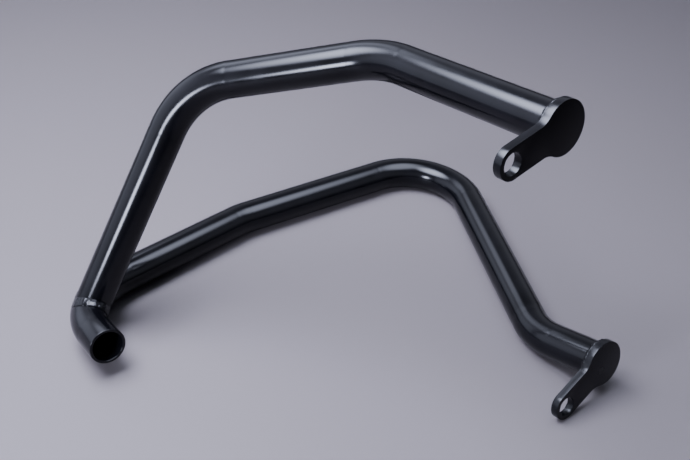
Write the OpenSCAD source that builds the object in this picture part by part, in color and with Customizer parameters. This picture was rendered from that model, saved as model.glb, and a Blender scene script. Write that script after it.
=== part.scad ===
// Motorcycle crash bar for one side: two bent tubes welded into an open loop,
// with a bolt plate welded on the free end of each. It lies as it comes to rest,
// with the long runs of the lower bar on the ground at z = 0.

/* [Tube] */
// Outside diameter of both bars
tube_od = 25; // [20:0.5:32]
// Wall of both bars
tube_wall = 2; // [1.5:0.1:3.5]
// Chamfer on the rim of the open end, inside and outside
rim_chamfer = 0.4; // [0.1:0.1:0.7]

/* [Lower bar] */
// Straight stub between the open end and the elbow
stub_len = 23; // [12:1:60]
// Bend radius of the elbow, to the middle of the tube
elbow_r = 55; // [50:1:80]
// Bend of the elbow
elbow_angle = 81; // [75:1:100]
// Turn of the elbow about the first run, which lifts the open end off the ground
elbow_turn = 10; // [0:1:20]
// Bend radius of the other bends of the lower bar
bend_r = 50; // [40:1:70]
// Straight run from the elbow to the slight bend
run_1 = 103; // [80:1:140]
// Slight bend on the way to the far corner
kink_angle = 12; // [5:1:25]
// Straight run from the slight bend to the far corner
run_2 = 123; // [90:1:160]
// Bend of the far corner
corner_angle = 110; // [90:1:125]
// Straight run from the far corner to the last bend
run_3 = 150; // [110:1:190]
// Last bend, which lifts the plate end off the ground
end_angle = 32.5; // [20:0.5:45]
// Turn of the last bend about run 3, where 180 would keep it on the ground
end_turn = -155; // [-170:1:-130]
// Straight run from the last bend to the plate
run_4 = 38; // [25:1:70]

/* [Upper bar] */
// Place of the upper bar on the elbow, from the end of run 1
joint_angle = 50; // [42:1:55]
// Direction of the riser around the elbow, from the inside of the bend
riser_side = 58.4; // [45:0.1:75]
// Angle between the riser and the elbow, towards the open end
riser_lean = 101.6; // [90:0.1:110]
// Gap left under the coped end, which the weld closes
cope_gap = 0.2; // [0.1:0.05:0.5]
// Straight riser, from the middle of the elbow to the shoulder
riser_len = 140; // [100:1:180]
// Bend radius of the upper bar, to the middle of the tube
upper_r = 60; // [45:1:75]
// Bend of the shoulder
shoulder_angle = 57; // [40:1:70]
// Turn of the shoulder about the riser
shoulder_turn = -123.9; // [-140:0.1:-100]
// Straight run along the top
top_len = 87; // [60:1:130]
// Bend at the end of the top run
top_angle = 35; // [20:1:50]
// Turn of that bend about the top run
top_turn = -44; // [-70:1:-20]
// Straight run from that bend to the plate
reach_len = 118; // [80:1:150]

/* [Bolt plates] */
// Thickness of both plates
plate_t = 5; // [4:0.5:8]
// Rim of the round head outside the tube, which carries the weld
head_rim = 3.5; // [3.5:0.5:8]
// Radius of the round end of the tongue
tongue_r = 9.5; // [9:0.5:13]
// Hollow curve between head and tongue
neck_r = 12; // [6:0.5:20]
// Distance from the middle of the head to the bolt hole
hole_dist = 40; // [34:1:60]
// Bolt hole, a free fit on a 12 mm bolt
hole_d = 13; // [8.5:0.5:13.5]
// Turn of the upper plate about its tube
upper_plate_turn = -13; // [-60:1:60]
// Lean of the upper plate off square
upper_plate_lean = 0; // [-5:0.5:5]
// Turn of the lower plate about its tube
lower_plate_turn = 180; // [150:1:210]
// Lean of the lower plate off square
lower_plate_lean = 3.5; // [-5:0.5:5]

/* [Welds] */
// Width of the bead on each side of the corner at the plates
plate_weld = 3; // [2:0.25:3.25]
// Width of the bead between the bars on the riser
riser_weld = 3.5; // [2.5:0.25:5]
// Width of the same bead on the elbow, where it runs down further
elbow_weld = 6; // [3:0.25:7]
// Rise of the bead above a straight slope
weld_crown = 0.5; // [0:0.1:1]
// Height of the ripples that the welder's steps leave
weld_ripple = 0.25; // [0:0.05:0.5]
// Steps in one turn round a tube
weld_steps = 24; // [16:1:32]

/* [Place] */
// End of run 1 at the elbow, from the middle of the part's footprint
root_x = -159.4; // [-250:0.1:250]
root_y = -6.2; // [-250:0.1:250]
// Heading of run 1 over the ground, from +Y towards +X
heading = 45; // [0:1:90]

/* [Hidden] */
$fn = 96;
tube_r = tube_od / 2;
bore_r = tube_r - tube_wall;
head_r = tube_r + head_rim;
// Each step is a straight, the turn of the bend that follows it, its angle and its radius
lower_path = [
    [run_1, 0, kink_angle, bend_r],
    [run_2, 0, corner_angle, bend_r],
    [run_3, end_turn, end_angle, bend_r],
];
upper_path = [
    [0, shoulder_turn, shoulder_angle, upper_r],
    [top_len, top_turn, top_angle, upper_r],
];
// Extra wall in a bend, like the slight mark that the bending die leaves at each end
bend_mark = 0.05;
// Radius of the outside of a bend, that of the elbow under the coped end included
skin_r = tube_r + bend_mark;
// How far a straight runs into the bends beside it
reach_in = 0.5;
// How far the hollow curves of a plate run into its head and tongue
bite = 0.02;
// Room that a cutting block or drill needs to run clear of the steel on all sides
clear = tube_od;
// Rings of points in a bead, and where its face and its foot on the elbow are measured
rings_per_step = 4;
face_parts = [0.25, 0.5, 0.75];
foot_parts = [0.67, 0.33, 0];
// Half the angle over which the direction of the coped edge is taken
edge_look = 1;
steel = [0.10, 0.11, 0.13];

// Straight tube along +Z
module straight(length) {
    if (length > 0) translate([0, 0, -reach_in])
        linear_extrude(length + 2 * reach_in) tube_section(0);
}

module tube_section(extra) {
    difference() {
        circle(r = tube_r + extra);
        circle(r = bore_r - extra);
    }
}

// Bent tube that starts along +Z and bends towards +X
module bend(angle, r) {
    about_bend(angle, r) rotate_extrude(angle = angle)
        translate([r, 0]) tube_section(bend_mark);
}

module about_bend(angle, r) {
    translate([r, 0, 0]) rotate([90, 0, 0]) rotate([0, 0, 180 - angle]) children();
}

module past_bend(angle, r) {
    translate([r * (1 - cos(angle)), 0, r * sin(angle)]) rotate([0, angle, 0]) children();
}

// Tube along a whole path, one straight and one bend at a time
module along(path, i = 0) {
    if (i < len(path)) {
        straight(path[i][0]);
        translate([0, 0, path[i][0]]) rotate([0, 0, path[i][1]]) {
            bend(path[i][2], path[i][3]);
            past_bend(path[i][2], path[i][3]) along(path, i + 1);
        }
    }
}

// Puts its children at the far end of a path
module at_end(path, i = 0) {
    if (i == len(path)) children();
    else translate([0, 0, path[i][0]]) rotate([0, 0, path[i][1]])
        past_bend(path[i][2], path[i][3]) at_end(path, i + 1) children();
}

// Start of run 1, with run 1 along +Z and the bends of the lower bar towards +X
module at_root() {
    translate([root_x, root_y, skin_r]) rotate([-90, 0, -heading]) children();
}

// The same place, looking back along the elbow to the open end
module at_elbow() {
    at_root() rotate([180, 0, 0]) rotate([0, 0, elbow_turn]) children();
}

// Middle of the elbow where the upper bar starts, with the elbow along +Z
module at_saddle() {
    at_elbow() past_bend(joint_angle, elbow_r) children();
}

module at_riser() {
    at_saddle() rotate([0, riser_lean, riser_side]) children();
}

// Back face of each plate, with the tube arriving along +Z
module at_lower_plate() {
    at_root() at_end(lower_path) translate([0, 0, run_4])
        rotate([0, 0, lower_plate_turn]) children();
}

module at_upper_plate() {
    at_riser() translate([0, 0, riser_len]) at_end(upper_path) translate([0, 0, reach_len])
        rotate([0, 0, upper_plate_turn]) children();
}

// Last straight of a bar, cut off along the back face of its plate
module plate_end(length, turn, lean) {
    spare = clear * tan(abs(lean));
    difference() {
        straight(length + spare);
        translate([0, 0, length]) rotate([0, lean, turn])
            translate([-clear, -clear, 0]) cube([2 * clear, 2 * clear, clear]);
    }
}

// Stub with both edges of its rim taken off
module open_end(length) {
    rotate_extrude() polygon([
        [bore_r, -reach_in], [tube_r, -reach_in],
        [tube_r, length - rim_chamfer], [tube_r - rim_chamfer, length],
        [bore_r + rim_chamfer, length], [bore_r, length - rim_chamfer],
    ]);
}

module lower_bar() {
    color(steel) {
        at_root() {
            along(lower_path);
            at_end(lower_path) plate_end(run_4, lower_plate_turn, lower_plate_lean);
        }
        at_elbow() {
            bend(elbow_angle, elbow_r);
            past_bend(elbow_angle, elbow_r) open_end(stub_len);
        }
    }
}

// Space that the elbow and its neighbours take from the coped end
module elbow_room() {
    r = skin_r + cope_gap;
    at_elbow() {
        about_bend(elbow_angle, elbow_r) rotate_extrude(angle = elbow_angle)
            translate([elbow_r, 0]) circle(r = r);
        past_bend(elbow_angle, elbow_r) cylinder(r = r, h = stub_len);
    }
    at_root() cylinder(r = r, h = run_1);
}

module upper_bar() {
    color(steel) {
        difference() {
            at_riser() straight(riser_len);
            elbow_room();
        }
        at_riser() translate([0, 0, riser_len]) {
            along(upper_path);
            at_end(upper_path) plate_end(reach_len, upper_plate_turn, upper_plate_lean);
        }
    }
}

// Outline of a plate: round head, parallel tongue and a hollow neck on both sides
module plate_outline() {
    neck_y = tongue_r + neck_r - bite;
    neck_x = sqrt(pow(head_r + neck_r - bite, 2) - pow(neck_y, 2));
    circle(r = head_r);
    translate([0, -tongue_r]) square([hole_dist, 2 * tongue_r]);
    translate([hole_dist, 0]) circle(r = tongue_r);
    difference() {
        polygon([[0, 0], [neck_x, -neck_y], [neck_x, neck_y]]);
        for (side = [-1, 1]) translate([neck_x, side * neck_y]) circle(r = neck_r);
    }
}

module bolt_plate(lean) {
    color(steel) rotate([0, lean, 0]) difference() {
        linear_extrude(plate_t) plate_outline();
        translate([hole_dist, 0, -clear]) cylinder(d = hole_d, h = 2 * clear);
    }
}

module upper_plate() {
    at_upper_plate() bolt_plate(upper_plate_lean);
}

module lower_plate() {
    at_lower_plate() bolt_plate(lower_plate_lean);
}

// A weld bead is a closed chain of rings of points round a tube. Each ring goes over
// the face of the bead from one toe to the other and back along the two surfaces.
function unit(v) = v / norm(v);
function ring_angle(i) = 360 * i / (weld_steps * rings_per_step);
function ripple(i) = weld_ripple * (1 - 2 * (i % rings_per_step) / (rings_per_step - 1)) / 2;
function face_point(a, b, out, t, rise) = a + (b - a) * t + out * rise * 4 * t * (1 - t);
function bead_face(a, b, root, i) =
    let (out = unit((a + b) / 2 - root))
    [for (t = face_parts) face_point(a, b, out, t, weld_crown + ripple(i))];

module bead(rings) {
    n = len(rings);
    m = len(rings[0]);
    polyhedron(
        points = [for (ring = rings, p = ring) p],
        faces = [for (i = [0 : n - 1], j = [0 : m - 1])
            let (k = (i + 1) % n, l = (j + 1) % m)
            for (f = [[i * m + j, i * m + l, k * m + l], [i * m + j, k * m + l, k * m + j]]) f]
    );
}

// Bead between a tube that arrives along +Z and a plate that leans by an angle
function plate_corner(a, radius, lean) =
    [radius * cos(a), radius * sin(a), -radius * cos(a) * tan(lean)];
function plate_ring(i, lean) =
    let (
        a = ring_angle(i),
        leg = plate_weld + ripple(i),
        root = plate_corner(a, tube_r, lean),
        toe = plate_corner(a, tube_r + leg, lean),
        top = root - [0, 0, leg]
    )
    concat([top], bead_face(top, toe, root, i), [toe, root]);

module plate_bead(lean) {
    color(steel) bead([for (i = [0 : weld_steps * rings_per_step - 1]) plate_ring(i, lean)]);
}

module upper_plate_weld() {
    at_upper_plate() plate_bead(upper_plate_lean);
}

module lower_plate_weld() {
    at_lower_plate() plate_bead(lower_plate_lean);
}

// Directions of the riser in the saddle's frame: along it, and two across it
riser_u = [sin(riser_lean) * cos(riser_side), sin(riser_lean) * sin(riser_side), cos(riser_lean)];
riser_e = [cos(riser_lean) * cos(riser_side), cos(riser_lean) * sin(riser_side), -sin(riser_lean)];
riser_f = [-sin(riser_side), cos(riser_side), 0];
elbow_middle = [elbow_r, 0, 0];

// Nearest point on the middle line of the elbow, and the way out from there
function on_elbow(p) =
    let (v = p - elbow_middle)
    elbow_middle + elbow_r * unit([v[0], 0, v[2]]);
function off_elbow(p) = norm(p - on_elbow(p));
function to_elbow(p) = on_elbow(p) + skin_r * unit(p - on_elbow(p));
function riser_out(a) = riser_e * cos(a) + riser_f * sin(a);
function to_riser(p) =
    let (axis = riser_u * (p * riser_u))
    axis + tube_r * unit(p - axis);

// Height on the riser where its side meets the coped edge, found by halving
function cope_height(a, low = 0, high = 2.5 * tube_od, n = 24) =
    n == 0 ? (low + high) / 2 :
    let (mid = (low + high) / 2)
    off_elbow(riser_u * mid + riser_out(a) * tube_r) < skin_r + cope_gap
        ? cope_height(a, mid, high, n - 1)
        : cope_height(a, low, mid, n - 1);
function cope_edge(a) = riser_u * cope_height(a) + riser_out(a) * tube_r;

// Bead between the riser and the elbow, at right angles to the coped edge all the way
function saddle_ring(i) =
    let (
        a = ring_angle(i),
        edge = cope_edge(a),
        way = unit(cope_edge(a + edge_look) - cope_edge(a - edge_look)),
        elbow_out = unit(edge - on_elbow(edge)),
        up = cross(riser_out(a), way),
        down = cross(way, elbow_out),
        on_riser = up * (riser_weld + ripple(i)),
        over_elbow = down * (elbow_weld + ripple(i)),
        top = to_riser(edge + on_riser),
        toe = to_elbow(edge + over_elbow)
    )
    concat(
        [top], bead_face(top, toe, edge, i), [toe],
        [for (t = foot_parts) to_elbow(edge + over_elbow * t)],
        [edge, to_riser(edge + on_riser / 2)]
    );

module bar_weld() {
    color(steel) at_saddle()
        bead([for (i = [0 : weld_steps * rings_per_step - 1]) saddle_ring(i)]);
}

lower_bar();
upper_bar();
upper_plate();
lower_plate();
bar_weld();
upper_plate_weld();
lower_plate_weld();
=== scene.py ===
import math

import bpy
from mathutils import Matrix, Vector


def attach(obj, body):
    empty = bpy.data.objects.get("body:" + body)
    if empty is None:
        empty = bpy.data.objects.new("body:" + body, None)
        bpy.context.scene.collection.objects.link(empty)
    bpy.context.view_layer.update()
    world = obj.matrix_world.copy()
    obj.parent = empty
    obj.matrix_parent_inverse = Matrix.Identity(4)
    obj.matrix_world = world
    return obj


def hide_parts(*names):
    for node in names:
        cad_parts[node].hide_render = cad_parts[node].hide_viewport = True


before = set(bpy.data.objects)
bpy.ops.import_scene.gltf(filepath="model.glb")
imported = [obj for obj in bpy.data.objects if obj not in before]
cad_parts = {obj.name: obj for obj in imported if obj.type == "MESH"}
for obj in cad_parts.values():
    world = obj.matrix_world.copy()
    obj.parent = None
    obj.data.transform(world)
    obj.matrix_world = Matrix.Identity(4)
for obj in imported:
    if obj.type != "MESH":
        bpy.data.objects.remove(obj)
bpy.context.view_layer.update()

# The camera stands about 0.75 m from the part and looks down on it at 36 degrees,
# held with a slight roll, as the photograph was taken.
bpy.ops.object.camera_add(location=(0.0004, -0.5966, 0.498))
camera = bpy.context.object
camera.name = "camera"
camera.rotation_mode = "ZYX"
camera.rotation_euler = (math.radians(53.6), 0, math.radians(2.5))
camera.data.lens = 54.21
camera.data.sensor_width = 36
camera.data.clip_start = 0.01
bpy.context.scene.camera = camera

# The lower bar is one length of 25 mm steel tube with a 2 mm wall, cold-bent round a
# former. It lies on the ground from the elbow to its last bend. The end of its stub is
# open, with the rim broken by a file. The whole part is powder coated black at the end.
TUBE_R = 0.0125
WALL = 0.002
ELBOW_R = 0.055
LOWER_BEND_R = 0.05
STUB_LEN = 0.023
RUN_1 = 0.103
RUN_2 = 0.123
RUN_3 = 0.150
RUN_4 = 0.038
# a cut end runs this far into what it is welded to
INSET = 0.001
# the mark of the die: its length, how full the bends are, and the ring sizes each way
MARK = 0.004
FULL = 1.0018
INTO = (0.999, 0.997, 0.999, FULL)
OUT_OF = (1.0, 0.998, 0.998, 1.0)


def turned(x, y, z):
    x, y, z = (math.radians(a) for a in (x, y, z))
    return (Matrix.Rotation(z, 4, "Z") @ Matrix.Rotation(y, 4, "Y")
            @ Matrix.Rotation(x, 4, "X"))


def past_bend(angle, radius):
    a = math.radians(angle)
    shift = Vector((radius * (1 - math.cos(a)), 0, radius * math.sin(a)))
    return Matrix.Translation(shift) @ Matrix.Rotation(a, 4, "Y")


def cut_tube(name, place, radius, sides=96):
    """Starts a tube as a ring of points square to the place's own Z."""
    bpy.ops.object.select_all(action="DESELECT")
    bpy.ops.mesh.primitive_circle_add(vertices=sides, radius=radius)
    tube = bpy.context.object
    tube.name = name
    tube.data.transform(place)
    bpy.ops.object.mode_set(mode="EDIT")
    bpy.ops.mesh.select_all(action="SELECT")
    return tube


def run_on(place, length):
    """Draws the tube out straight, with a ring of points every 20 mm or so, and returns
    the place at its new end."""
    count = max(1, round(length / 0.02))
    way = (place.to_3x3() @ Vector((0, 0, 1))) * (length / count)
    for _ in range(count):
        bpy.ops.mesh.extrude_region_move(TRANSFORM_OT_translate={"value": way})
    return place @ Matrix.Translation((0, 0, length))


def die_mark(place, sizes):
    """Goes on by the length of a mark. Each step sets the size of its ring of points,
    which leaves the faint dip and swelling that the edge of the die presses in."""
    step = MARK / len(sizes)
    way = (place.to_3x3() @ Vector((0, 0, 1))) * step
    last = FULL if sizes is OUT_OF else 1.0
    for size in sizes:
        place = place @ Matrix.Translation((0, 0, step))
        bpy.ops.mesh.extrude_region_move(TRANSFORM_OT_translate={"value": way})
        grow = size / last
        bpy.ops.transform.resize(value=(grow, grow, grow), center_override=place.translation)
        last = size
    return place


def bend_on(place, turn, angle, radius):
    """Bends the tube round a former, and returns the place at its new end."""
    place = place @ Matrix.Rotation(math.radians(turn), 4, "Z")
    centre = place @ Vector((radius, 0, 0))
    pin = place.to_3x3() @ Vector((0, -1, 0))
    steps = max(4, round(angle / 2))
    bpy.ops.mesh.spin(steps=steps, angle=math.radians(angle), center=centre, axis=pin)
    return place @ past_bend(angle, radius)


def give_wall(tube, wall):
    """Turns the bare outside of a tube into a pipe with a wall and two flat rims."""
    bpy.ops.mesh.select_all(action="SELECT")
    bpy.ops.mesh.remove_doubles(threshold=1e-6)
    bpy.ops.mesh.normals_make_consistent(inside=False)
    bpy.ops.object.mode_set(mode="OBJECT")
    solid = tube.modifiers.new("wall", "SOLIDIFY")
    solid.thickness = wall
    solid.offset = -1
    bpy.ops.object.modifier_apply(modifier=solid.name)


def pick(piece, want):
    """Selects the edges of a piece whose middle passes a test, and nothing else."""
    bpy.ops.object.mode_set(mode="EDIT")
    bpy.ops.mesh.select_mode(type="EDGE")
    bpy.ops.mesh.select_all(action="DESELECT")
    bpy.ops.object.mode_set(mode="OBJECT")
    points = piece.data.vertices
    for edge in piece.data.edges:
        a, b = (points[i].co for i in edge.vertices)
        edge.select = want(a, b)
    bpy.ops.object.mode_set(mode="EDIT")


def smooth(piece, angle=35):
    bpy.ops.object.mode_set(mode="OBJECT")
    bpy.ops.object.select_all(action="DESELECT")
    piece.select_set(True)
    bpy.context.view_layer.objects.active = piece
    bpy.ops.object.shade_smooth_by_angle(angle=math.radians(angle))


ROOT = Matrix.Translation((-0.1594, -0.0062, 0.01255)) @ turned(-90, 0, -45)
ELBOW = ROOT @ turned(180, 0, 0) @ turned(0, 0, 10)
MOUTH = ELBOW @ past_bend(81, ELBOW_R) @ Matrix.Translation((0, 0, STUB_LEN))

lower_bar = cut_tube("lower_tube", MOUTH, TUBE_R)
place = run_on(MOUTH @ turned(180, 0, 0), STUB_LEN - MARK)
place = die_mark(place, INTO)
place = bend_on(place, 0, 81, ELBOW_R)
place = run_on(die_mark(ROOT, OUT_OF), RUN_1 - 2 * MARK)
place = bend_on(die_mark(place, INTO), 0, 12, LOWER_BEND_R)
place = run_on(die_mark(place, OUT_OF), RUN_2 - 2 * MARK)
place = bend_on(die_mark(place, INTO), 0, 110, LOWER_BEND_R)
place = run_on(die_mark(place, OUT_OF), RUN_3 - 2 * MARK)
place = bend_on(die_mark(place, INTO), -155, 32.5, LOWER_BEND_R)
LOWER_END = place @ Matrix.Translation((0, 0, RUN_4))
run_on(die_mark(place, OUT_OF), RUN_4 + INSET - MARK)
give_wall(lower_bar, WALL)

# the two edges of the rim at the mouth
mouth_at, mouth_way = MOUTH.translation, MOUTH.to_3x3() @ Vector((0, 0, 1))


def on_rim(a, b):
    ahead = [(p - mouth_at).dot(mouth_way) for p in (a, b)]
    out = [(p - mouth_at).length for p in (a, b)]
    return min(ahead) > -1e-4 and abs(out[0] - out[1]) < 1e-4


pick(lower_bar, on_rim)
bpy.ops.mesh.bevel(offset=0.0005, segments=4, profile=0.5, affect="EDGES")
smooth(lower_bar)


# Black powder coat: a thin even skin of baked polyester, near black with a cold cast.
# It flows out glossy, with a very fine orange peel, and goes a little duller in places.
def powder_coat(name, glossiest, dullest):
    coat = bpy.data.materials.new(name)
    coat.use_nodes = True
    tree = coat.node_tree
    shader = tree.nodes["Principled BSDF"]
    shader.inputs["IOR"].default_value = 1.5
    shader.inputs["Specular IOR Level"].default_value = 0.2
    shader.inputs["Metallic"].default_value = 0
    where = tree.nodes.new("ShaderNodeTexCoord")

    shade = tree.nodes.new("ShaderNodeTexNoise")
    shade.inputs["Scale"].default_value = 60
    shade.inputs["Detail"].default_value = 4
    tree.links.new(where.outputs["Object"], shade.inputs["Vector"])
    tint = tree.nodes.new("ShaderNodeValToRGB")
    tint.color_ramp.elements[0].position = 0.35
    tint.color_ramp.elements[0].color = (0.0010, 0.0010, 0.0015, 1)
    tint.color_ramp.elements[1].position = 0.65
    tint.color_ramp.elements[1].color = (0.0019, 0.0019, 0.0027, 1)
    tree.links.new(shade.outputs["Fac"], tint.inputs["Fac"])
    tree.links.new(tint.outputs["Color"], shader.inputs["Base Color"])

    dull = tree.nodes.new("ShaderNodeMapRange")
    dull.inputs["From Min"].default_value = 0.3
    dull.inputs["From Max"].default_value = 0.7
    dull.inputs["To Min"].default_value = glossiest
    dull.inputs["To Max"].default_value = dullest
    tree.links.new(shade.outputs["Fac"], dull.inputs["Value"])
    tree.links.new(dull.outputs["Result"], shader.inputs["Roughness"])

    peel = tree.nodes.new("ShaderNodeTexNoise")
    peel.inputs["Scale"].default_value = 700
    peel.inputs["Detail"].default_value = 2
    tree.links.new(where.outputs["Object"], peel.inputs["Vector"])
    bump = tree.nodes.new("ShaderNodeBump")
    bump.inputs["Strength"].default_value = 0.45
    bump.inputs["Distance"].default_value = 0.00002
    tree.links.new(peel.outputs["Fac"], bump.inputs["Height"])
    tree.links.new(bump.outputs["Normal"], shader.inputs["Normal"])
    return coat


COAT = powder_coat("powder_coat", 0.13, 0.19)


def finish_piece(piece, *nodes, coat=COAT):
    piece.data.materials.clear()
    piece.data.materials.append(coat)
    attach(piece, "root")
    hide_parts(*nodes)


finish_piece(lower_bar, "lower_bar")

# The upper bar is a second length of the same tube. Its foot is notched to sit on the
# outside of the elbow, and from there it rises, goes over and reaches to its plate.
UPPER_BEND_R = 0.06
RISER_LEN = 0.140
TOP_LEN = 0.087
REACH_LEN = 0.118
# depth to which the foot of the riser sinks into the skin of the elbow
SINK = 0.0001
SADDLE = ELBOW @ past_bend(50, ELBOW_R)
RISER = SADDLE @ turned(0, 101.6, 58.4)

foot = RISER @ Matrix.Translation((0, 0, -INSET))
upper_bar = cut_tube("upper_tube", foot, TUBE_R)
place = run_on(foot, INSET + RISER_LEN - MARK)
place = bend_on(die_mark(place, INTO), -123.9, 57, UPPER_BEND_R)
place = run_on(die_mark(place, OUT_OF), TOP_LEN - 2 * MARK)
place = bend_on(die_mark(place, INTO), -44, 35, UPPER_BEND_R)
UPPER_END = place @ Matrix.Translation((0, 0, REACH_LEN))
run_on(die_mark(place, OUT_OF), REACH_LEN + INSET - MARK)
give_wall(upper_bar, WALL)

# a dummy of the elbow, to cut the notch with
dummy = cut_tube("notch_cutter", ELBOW, TUBE_R - SINK, sides=128)
bpy.ops.mesh.edge_face_add()
bpy.ops.mesh.select_all(action="SELECT")
bend_on(ELBOW, 0, 81, ELBOW_R)
bpy.ops.mesh.edge_face_add()
bpy.ops.mesh.select_all(action="SELECT")
bpy.ops.mesh.remove_doubles(threshold=1e-6)
bpy.ops.mesh.normals_make_consistent(inside=False)
bpy.ops.object.mode_set(mode="OBJECT")
bpy.ops.object.select_all(action="DESELECT")
upper_bar.select_set(True)
bpy.context.view_layer.objects.active = upper_bar
notch = upper_bar.modifiers.new("notch", "BOOLEAN")
notch.operation = "DIFFERENCE"
notch.object = dummy
bpy.ops.object.modifier_apply(modifier=notch.name)
bpy.data.objects.remove(dummy)
smooth(upper_bar)
finish_piece(upper_bar, "upper_bar")

# Both bolt plates are cut from 5 mm plate to one outline, a round head with a tongue,
# and drilled 13 mm for the bolt. The coat rounds their edges.
HEAD_R = 0.016
TONGUE_R = 0.0095
NECK_R = 0.012
HOLE_AT = 0.040
HOLE_R = 0.0065
PLATE = 0.005
EDGE_ROUND = 0.0007


def arc(centre, angle, steps):
    bpy.ops.mesh.spin(steps=steps, angle=math.radians(angle), center=centre, axis=(0, 0, -1))


def bolt_plate(name):
    neck_y = TONGUE_R + NECK_R
    neck_x = math.sqrt((HEAD_R + NECK_R) ** 2 - neck_y ** 2)
    neck = math.degrees(math.atan2(neck_y, neck_x))
    along = math.cos(math.radians(neck)), math.sin(math.radians(neck))
    start = (HEAD_R * along[0], HEAD_R * along[1], 0)
    bpy.ops.object.select_all(action="DESELECT")
    bpy.ops.mesh.primitive_plane_add(size=0.001)
    plate = bpy.context.object
    plate.name = name
    plate.data.transform(Matrix.Translation(start))
    bpy.ops.object.mode_set(mode="EDIT")
    bpy.ops.mesh.select_mode(type="VERT")
    bpy.ops.mesh.select_all(action="SELECT")
    bpy.ops.mesh.merge(type="CENTER")
    # the outline, once round: head, neck, tongue, round end and back
    arc((0, 0, 0), 360 - 2 * neck, 76)
    arc((neck_x, -neck_y, 0), -(90 - neck), 14)
    side = Vector((HOLE_AT - neck_x, 0, 0))
    bpy.ops.mesh.extrude_region_move(TRANSFORM_OT_translate={"value": side})
    arc((HOLE_AT, 0, 0), 180, 48)
    bpy.ops.mesh.extrude_region_move(TRANSFORM_OT_translate={"value": -side})
    arc((neck_x, neck_y, 0), -(90 - neck), 14)
    bpy.ops.mesh.select_all(action="SELECT")
    bpy.ops.mesh.remove_doubles(threshold=1e-5)
    bpy.ops.mesh.select_all(action="DESELECT")
    bpy.ops.mesh.primitive_circle_add(vertices=64, radius=HOLE_R, location=(HOLE_AT, 0, 0))
    bpy.ops.mesh.select_all(action="SELECT")
    bpy.ops.mesh.fill()
    bpy.ops.mesh.extrude_region_move(TRANSFORM_OT_translate={"value": (0, 0, PLATE)})
    bpy.ops.mesh.select_all(action="SELECT")
    bpy.ops.mesh.normals_make_consistent(inside=False)
    bpy.ops.object.mode_set(mode="OBJECT")
    edge = plate.modifiers.new("edge", "BEVEL")
    edge.width = EDGE_ROUND
    edge.segments = 4
    edge.limit_method = "ANGLE"
    edge.angle_limit = math.radians(50)
    bpy.ops.object.modifier_apply(modifier=edge.name)
    return plate


upper_plate = bolt_plate("upper_bolt_plate")
lower_plate = upper_plate.copy()
lower_plate.name = "lower_bolt_plate"
lower_plate.data = upper_plate.data.copy()
bpy.context.collection.objects.link(lower_plate)
UPPER_FACE = UPPER_END @ turned(0, 0, -13)
LOWER_FACE = LOWER_END @ turned(0, 0, 180) @ turned(0, 3.5, 0)
upper_plate.data.transform(UPPER_FACE)
lower_plate.data.transform(LOWER_FACE)
# the coat lies duller on cut plate than on drawn tube
DULL_COAT = powder_coat("powder_coat_on_plate", 0.20, 0.28)
for plate, node in ((upper_plate, "upper_plate"), (lower_plate, "lower_plate")):
    smooth(plate)
    finish_piece(plate, node, coat=DULL_COAT)

# The welds are beads laid in steps all round each joint. The coat has smoothed the
# steps, and the beads stay lumpy under it, and fuller at the plates than at the elbow.
LUMPS = bpy.data.textures.new("lumps", "CLOUDS")
LUMPS.noise_scale = 0.003
BEADS = (("bar_weld", 0.0007, 0.35),
         ("upper_plate_weld", 0.0015, 0.1),
         ("lower_plate_weld", 0.0015, 0.1))
for node, lump_height, level in BEADS:
    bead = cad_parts[node].copy()
    bead.name = node.replace("weld", "bead")
    bead.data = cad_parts[node].data.copy()
    bead.parent = None
    bpy.context.collection.objects.link(bead)
    bpy.ops.object.select_all(action="DESELECT")
    bead.select_set(True)
    bpy.context.view_layer.objects.active = bead
    bpy.ops.object.mode_set(mode="EDIT")
    bpy.ops.mesh.select_all(action="SELECT")
    bpy.ops.mesh.remove_doubles(threshold=1e-6)
    bpy.ops.mesh.tris_convert_to_quads()
    bpy.ops.object.mode_set(mode="OBJECT")
    flow = bead.modifiers.new("flow", "SMOOTH")
    flow.factor = 0.5
    flow.iterations = 2
    bpy.ops.object.modifier_apply(modifier=flow.name)
    round_off = bead.modifiers.new("round_off", "SUBSURF")
    round_off.levels = round_off.render_levels = 2
    bpy.ops.object.modifier_apply(modifier=round_off.name)
    uneven = bead.modifiers.new("uneven", "DISPLACE")
    uneven.texture = LUMPS
    uneven.strength = lump_height
    uneven.mid_level = level
    bpy.ops.object.modifier_apply(modifier=uneven.name)
    smooth(bead, 60)
    finish_piece(bead, node)

# A plain pale floor, and soft light in a dim room: a bright panel on the left, a wide
# one overhead that reaches to the right, a small lamp low in front on the left, and the
# glow of pale walls.
bpy.ops.object.select_all(action="DESELECT")
bpy.ops.mesh.primitive_plane_add(size=10)
floor = bpy.context.object
floor.name = "floor"
ground = bpy.data.materials.new("floor_grey")
ground.use_nodes = True
base = ground.node_tree.nodes["Principled BSDF"]
base.inputs["Base Color"].default_value = (0.122, 0.108, 0.110, 1)
base.inputs["Roughness"].default_value = 0.6
base.inputs["Specular IOR Level"].default_value = 0.25
floor.data.materials.append(ground)


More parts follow.
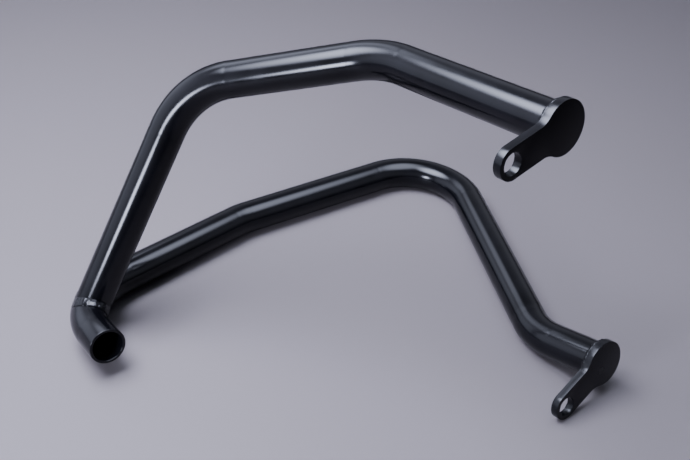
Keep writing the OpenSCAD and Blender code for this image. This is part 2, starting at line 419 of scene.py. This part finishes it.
def panel(name, azimuth, elevation, distance, width, height, radiance, lights_floor):
    """A soft light that faces the middle of the part and fades towards its own edges.
    Azimuth 0 is straight behind the part. One that doesn't light the floor is there
    for what the gloss of the coat shows of it."""
    a, e = math.radians(azimuth), math.radians(elevation)
    way = Vector((math.sin(a) * math.cos(e), math.cos(a) * math.cos(e), math.sin(e)))
    middle = Vector((0, 0, 0.08))
    bpy.ops.object.light_add(type="AREA", location=middle + way * distance)
    light = bpy.context.object
    light.name = name
    light.rotation_euler = (-way).to_track_quat("-Z", "Y").to_euler()
    light.data.shape = "RECTANGLE"
    light.data.size = width
    light.data.size_y = height
    light.data.color = (0.74, 0.79, 1.0)
    light.data.energy = radiance * width * height * math.pi
    light.visible_diffuse = lights_floor
    light.data.use_nodes = True
    tree = light.data.node_tree
    over = tree.nodes.new("ShaderNodeNewGeometry")
    centre = tree.nodes.new("ShaderNodeVectorMath")
    centre.operation = "MULTIPLY_ADD"
    centre.inputs[1].default_value = (2, 2, 0)
    centre.inputs[2].default_value = (-1, -1, 0)
    fade = tree.nodes.new("ShaderNodeTexGradient")
    fade.gradient_type = "SPHERICAL"
    edge = tree.nodes.new("ShaderNodeMapRange")
    edge.interpolation_type = "SMOOTHSTEP"
    edge.inputs["From Max"].default_value = 0.7
    tree.links.new(over.outputs["Parametric"], centre.inputs[0])
    tree.links.new(centre.outputs["Vector"], fade.inputs["Vector"])
    tree.links.new(fade.outputs["Fac"], edge.inputs["Value"])
    tree.links.new(edge.outputs["Result"], tree.nodes["Emission"].inputs["Strength"])


panel("panel_left", -94, 65, 0.8, 0.95, 0.8, 45, True)
panel("panel_over", 85, 75, 1.1, 1.5, 1.2, 16, False)
panel("panel_back", -38, 37, 1.5, 1.2, 0.8, 5, False)
panel("wall_left", -85, 15, 1.6, 4.2, 1.7, 2.3, False)
panel("lamp_low", -142, 14, 1.1, 0.4, 0.42, 98, True)
world = bpy.data.worlds.new("room")
world.use_nodes = True
sky = world.node_tree
sky.nodes["Background"].inputs["Color"].default_value = (0.79, 0.82, 1.0, 1)
facing = sky.nodes.new("ShaderNodeTexCoord")
height = sky.nodes.new("ShaderNodeSeparateXYZ")
glow = sky.nodes.new("ShaderNodeValToRGB")
glow.color_ramp.interpolation = "EASE"
glow.color_ramp.elements[0].color = (0.12, 0.12, 0.12, 1)
glow.color_ramp.elements[1].color = (0.3, 0.3, 0.3, 1)
walls = glow.color_ramp.elements.new(0.4)
walls.color = (0.9, 0.9, 0.9, 1)
sky.links.new(facing.outputs["Generated"], height.inputs["Vector"])
sky.links.new(height.outputs["Z"], glow.inputs["Fac"])
sky.links.new(glow.outputs["Color"], sky.nodes["Background"].inputs["Strength"])
world.cycles_visibility.diffuse = False
bpy.context.scene.world = world
